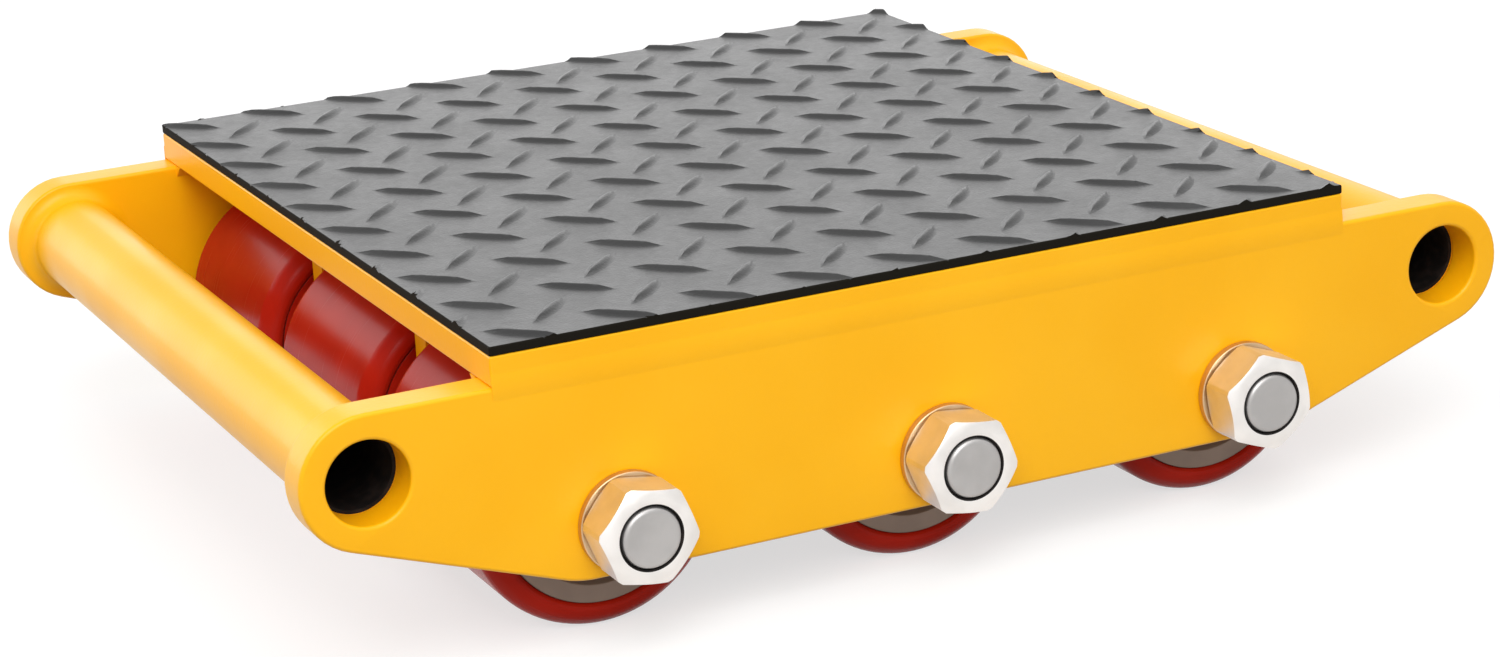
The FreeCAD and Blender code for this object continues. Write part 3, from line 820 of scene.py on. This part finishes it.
# %% [markdown]
# A core is a thick ring with a stepped seat for a bearing at each end. The cores' outer ends are
# bare metal. The ends that face a web get the tyres' red finish as painted shade: it stands for
# the dark red shade and the red reflection in the narrow gap between rollers, where the steel
# would otherwise show grey.

# %% Make the rollers
ROWS = ("near", "middle", "far")
SEAT = 26 * MM
SEAT_DEPTH = 17 * MM
SEAT_LEAD_IN = 2 * MM
CORE_BORE = 21.5 * MM
CORE_EDGE = 0.35 * MM
WEB_SIDE = 100 * MM


def core(roller, steel):
    node = f"core_{roller}"
    half, radius, middle = round_size(node)
    mouth = SEAT + SEAT_LEAD_IN
    ledge = half - SEAT_DEPTH
    bm = bmesh.new()
    section(bm, [
        (radius, -half), (radius, half), (mouth, half), (SEAT, half - SEAT_LEAD_IN),
        (SEAT, ledge), (CORE_BORE, ledge), (CORE_BORE, -ledge), (SEAT, -ledge),
        (SEAT, SEAT_LEAD_IN - half), (mouth, -half),
    ])
    turn(bm, middle, ROLLER_STEPS)
    soften(bm, CORE_EDGE, segments=2)

    # Painted shade: core ends that face a web get the tyres' red instead of steel
    def painted_shade_end(spot):
        return abs(spot.y) < WEB_SIDE and abs(spot.y - middle.y) > half - CORE_EDGE

    second_finish(bm, painted_shade_end)
    add_piece(f"hub_{roller}", bm, f"roller_{roller}", "core_steel", [steel, tyre_red], node)


for column in COLUMNS:
    for row in ROWS:
        tyre(f"{column}_{row}")
        core(f"{column}_{row}", core_steel[column])

# %% [markdown]
# ## Axles
# An axle is a long round bar. A cone with two equal radii is a cylinder, and a bevel of its two
# end rims rounds them off as a file would.

# %% Make the axles
AXLE_CHAMFER = 1.8 * MM
AXLE_RIM = math.radians(60)
AXLE_STEPS = 72

for column in COLUMNS:
    node = f"axle_{column}"
    half, radius, middle = round_size(node)
    bm = bmesh.new()
    bmesh.ops.create_cone(
        bm, cap_ends=True, segments=AXLE_STEPS, radius1=radius, radius2=radius, depth=2 * half,
        matrix=Matrix.Translation(middle) @ LYING,
    )
    soften(bm, AXLE_CHAMFER, segments=2, corner=AXLE_RIM)
    add_piece(f"{node}_turned", bm, "frame", "axle_steel", [axle_steel[column]], node)

# %% [markdown]
# ## Washers
# A flat ring lies under every nut. It could be a flattened torus, but the lathe gives it flat
# faces and a small round at the rim. All six become one piece, as they share one CAD node.

# %% Make the washers
WASHER_HOLE = 10.5 * MM
WASHER_EDGE = 0.5 * MM
SIDES = (-1, 1)

washer_low, washer_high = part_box("axle_washers")
plate_face = plate_low.y
washer_thickness = plate_face - washer_low.y
washer_radius = washer_high.z - axle_middle["left"].z


def washer(column, outward):
    bm = bmesh.new()
    half = washer_thickness / 2
    section(bm, [
        (WASHER_HOLE, -half), (washer_radius, -half), (washer_radius, half), (WASHER_HOLE, half),
    ])
    middle = axle_middle[column].copy()
    middle.y = outward * (half - plate_face)
    turn(bm, middle)
    soften(bm, WASHER_EDGE, segments=2)
    return bm


washers = gather([washer(column, outward) for column in COLUMNS for outward in SIDES])
add_piece("axle_washers_turned", washers, "frame", "zinc_plate", [zinc_with_painted_reflection], "axle_washers")

# %% [markdown]
# ## Nuts
# A nut is trickier than it looks: the curved lines where the chamfer meets the flats come from
# cutting a turned barrel with six planes. That is how a nut is made in the shop as well, the other
# way round. The barrel is a little narrower than a sharp hexagon's corners, so the corners come
# out rounded. The countersink and the bore get the near-black finish as painted shade, so that
# no lit chamfer shows there.

# %% Make the nuts
NUT_SIDES = 6
NUT_FLATS = 30 * MM
NUT_FACE = 13.8 * MM
NUT_CORNER = 16.8 * MM
NUT_BORE = 10.05 * MM
NUT_COUNTERSINK = 0.8 * MM
NUT_CHAMFER = math.radians(30)
NUT_STEPS = 120
NUT_END = 0.1 * MM
# Each nut stopped where it was tight: degrees from X towards Z to one of its corners
NUT_TURNS = {
    ("left", -1): 51, ("centre", -1): 52, ("right", -1): 40,
    ("left", 1): 22, ("centre", 1): 8, ("right", 1): 47,
}

nut_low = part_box("axle_nuts")[0]
nut_height = washer_low.y - nut_low.y


def nut(column, outward):
    drop = (NUT_CORNER - NUT_FACE) * math.tan(NUT_CHAMFER)
    sunk = NUT_BORE + NUT_COUNTERSINK
    half = nut_height / 2
    bm = bmesh.new()
    section(bm, [
        (sunk, -half), (NUT_FACE, -half), (NUT_CORNER, drop - half), (NUT_CORNER, half - drop),
        (NUT_FACE, half), (sunk, half),
        (NUT_BORE, half - NUT_COUNTERSINK), (NUT_BORE, NUT_COUNTERSINK - half),
    ])
    turn(bm, (0, 0, 0), NUT_STEPS)
    for flat in range(NUT_SIDES):
        angle = math.radians(NUT_TURNS[column, outward]) + (flat + 0.5) * math.tau / NUT_SIDES
        out = Vector((math.cos(angle), 0, math.sin(angle)))
        cut(bm, out * NUT_FLATS / 2, out, FINE_MERGE)
    # Painted shade: the countersink and the bore get the near-black finish
    second_finish(bm, lambda spot: spot.xz.length < sunk and abs(spot.y) < half - NUT_END)
    middle = axle_middle[column].copy()
    middle.y = outward * (half - washer_low.y)
    bmesh.ops.translate(bm, verts=bm.verts, vec=middle)
    return bm


nuts = gather([nut(column, outward) for column in COLUMNS for outward in SIDES])
add_piece("axle_nuts_plated", nuts, "frame", "zinc_plate", [zinc_plate, mill_scale_and_painted_shade], "axle_nuts")

# %% [markdown]
# ## Pieces that keep their CAD mesh
# The webs, the welds under the deck and everything inside the rollers are simple shapes that the
# CAD model already has right, and hardly any of it shows. They only get a finish.

# %% Dress the remaining CAD nodes
CAD_FINISHES = {
    "inner_web": powder_coat,
    "deck_welds": powder_coat,
    "outer_spacers": bearing_steel,
    "inner_spacers": bearing_steel,
    "bearing_sleeves": bearing_steel,
    "bearing_inner_rings": bearing_steel,
    "bearing_balls": bearing_steel,
    "ball_cages": cage_brass,
    "outer_rings": bearing_steel,
    "seals": seal_rubber,
}
dressed = 0
for name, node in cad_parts.items():
    for start, finish in CAD_FINISHES.items():
        if name.startswith(start):
            node.data.materials.clear()
            node.data.materials.append(finish)
            dressed += 1
print("dressed", dressed, "CAD nodes")

# %% [markdown]
# ## Studio
# The photograph was taken on white, under large soft lamps. The floor is white paper: it keeps
# the skate's shadow, and seen directly it glows a little, so that it reads as white without more
# light on the skate. The world does the same for what the camera sees past the floor, and for
# reflections.

# %% Surroundings
AMBIENT = 0.6
WHITE = (1, 1, 1, 1)


def seen(start):
    """1 for what the camera sees, directly, in a reflection or through glass."""
    path = start.node("ShaderNodeLightPath")
    outputs = path.socket.node.outputs
    names = ("Is Camera Ray", "Is Glossy Ray", "Is Transmission Ray")
    camera_ray, glossy_ray, through_ray = (Wire(start.tree, outputs[name]) for name in names)
    indirect = start.math("MAXIMUM", glossy_ray, through_ray)
    return start.math("MAXIMUM", camera_ray, indirect)


world = bpy.data.worlds.new("white_room")
world.use_nodes = True
world.node_tree.nodes.clear()
air = Wire(world.node_tree)
inputs = {"Color": WHITE, "Strength": AMBIENT + (1 - AMBIENT) * seen(air)}
air.node("ShaderNodeOutputWorld", None, {
    "Surface": air.node("ShaderNodeBackground", None, inputs),
})
bpy.context.scene.world = world
print("made", world.name)

# %% Floor
FLOOR_GLOW = 0.66
FLOOR_HALF = 6

paper, place = new_finish("floor_paper")
fibres = noise(place, 2 * MM, detail=3.0)
matt = place.node("ShaderNodeBsdfDiffuse", None, {
    "Color": fibres.mix((0.36, 0.36, 0.36, 1), (0.38, 0.38, 0.38, 1)),
})
inputs = {"Color": WHITE, "Strength": FLOOR_GLOW * seen(place)}
lit = place.node("ShaderNodeEmission", None, inputs)
both = place.node("ShaderNodeAddShader", None, {0: matt, 1: lit})
place.node("ShaderNodeOutputMaterial", None, {"Surface": both})

ground = bmesh.new()
bmesh.ops.create_grid(ground, x_segments=2, y_segments=2, size=FLOOR_HALF)
floor_mesh = bpy.data.meshes.new("floor")
ground.to_mesh(floor_mesh)
ground.free()
floor_mesh.materials.append(paper)
floor = bpy.data.objects.new("floor", floor_mesh)
bpy.context.scene.collection.objects.link(floor)
print("floor of", 2 * FLOOR_HALF, "m is laid")

# %% [markdown]
# ## Lamps
# Large soft lamps keep the shadows soft. The key lamp lights the side that faces the camera and
# the top lamp fills in from above. The left lamp draws the pale band along the tubes. The back
# lamp is what the mat mirrors at this low angle, and so it decides how grey the rubber looks.


# %% Hang the lamps
def softbox(name, place, aim, size, watts):
    """A square area lamp that looks at a point."""
    lamp = bpy.data.lights.new(name, "AREA")
    lamp.shape = "SQUARE"
    lamp.size = size
    lamp.energy = watts
    box = bpy.data.objects.new(name, lamp)
    box.location = place
    box.rotation_euler = (Vector(aim) - Vector(place)).to_track_quat("-Z", "Y").to_euler()
    bpy.context.scene.collection.objects.link(box)
    print(name, watts, "W")


softbox("key_lamp", place=(-0.8, -1.7, 1.8), aim=(0, 0, 0.06), size=1.6, watts=44)
softbox("top_lamp", place=(0.4, -0.6, 1.9), aim=(0, 0, 0.08), size=1.4, watts=6)
softbox("left_lamp", place=(-1.5, 1.8, 0.7), aim=(-0.1, 0, 0.06), size=2.0, watts=22)
softbox("back_lamp", place=(0.95, 2.0, 0.85), aim=(0, 0, 0.10), size=1.6, watts=6.2)

# %% [markdown]
# ## Camera
# The camera stands where the photographer stood. Its place, turn and lens were found by matching
# known corners of the skate, such as the mat's corners and the ear holes, with the picture.

# %% Place the camera
CAMERA_PLACE = Vector((-0.5221, -1.1433, 0.4369))
AZIMUTH = math.radians(-24.954)
ELEVATION = math.radians(17.516)
ROLL = math.radians(-3.038)
SENSOR_WIDTH = 36
LENS = 87.90

camera_data = bpy.data.cameras.new("camera")
camera_data.sensor_fit = "HORIZONTAL"
camera_data.sensor_width = SENSOR_WIDTH
camera_data.lens = LENS
camera = bpy.data.objects.new("camera", camera_data)
right = Vector((math.cos(AZIMUTH), math.sin(AZIMUTH), 0))
front = Vector((math.sin(AZIMUTH), -math.cos(AZIMUTH), 0))
back = math.cos(ELEVATION) * front + Vector((0, 0, math.sin(ELEVATION)))
up = back.cross(right)
rolled_right = math.cos(ROLL) * right + math.sin(ROLL) * up
rolled_up = math.cos(ROLL) * up - math.sin(ROLL) * right
stand = Matrix((rolled_right, rolled_up, back)).transposed().to_4x4()
camera.matrix_world = Matrix.Translation(CAMERA_PLACE) @ stand
bpy.context.scene.collection.objects.link(camera)
bpy.context.scene.camera = camera
bpy.context.scene.view_settings.view_transform = "Standard"
print("camera at", tuple(round(part, 3) for part in CAMERA_PLACE))
